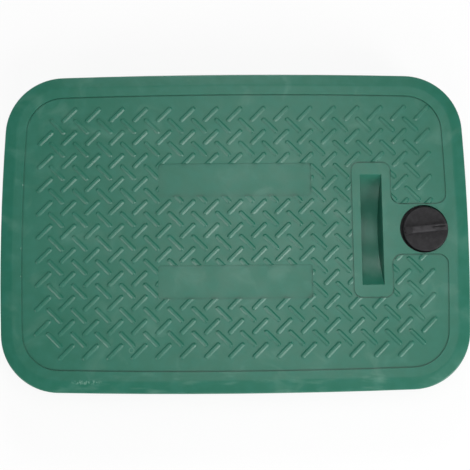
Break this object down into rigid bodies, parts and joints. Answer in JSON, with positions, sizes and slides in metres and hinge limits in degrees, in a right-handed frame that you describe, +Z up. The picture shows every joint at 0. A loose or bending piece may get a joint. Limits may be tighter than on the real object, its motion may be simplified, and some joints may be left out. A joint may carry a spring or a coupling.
{
  "type": "valve box lid",
  "caption": "Rectangular moulded lid for an underground valve box, with a raised tread pattern, a scooped finger pocket and a quarter-turn lock.",
  "frame": {"origin": "middle of the lid at the bottom of its frame and ribs", "axes": "+X along the length towards the lock, +Y across the width, +Z up out of the tread face"},
  "size_m": [0.43, 0.296, 0.05],
  "materials": {
    "green_plastic": "satin, moulded",
    "black_plastic": "matte, moulded",
    "plated_steel": "zinc plated"
  },
  "bodies": {
    "lid": {"lid": "green_plastic"},
    "lock": {"lock_cap": "black_plastic", "latch_blade": "plated_steel", "latch_washer": "plated_steel", "latch_screw": "plated_steel"}
  },
  "joints": [
    {"name": "lock_turn", "type": "hinge", "parent": "lid", "child": "lock", "pos_m": [0.1736, 0, 0.03], "axis": [0, 0, 1], "range_deg": [-5, 85]}
  ]
}
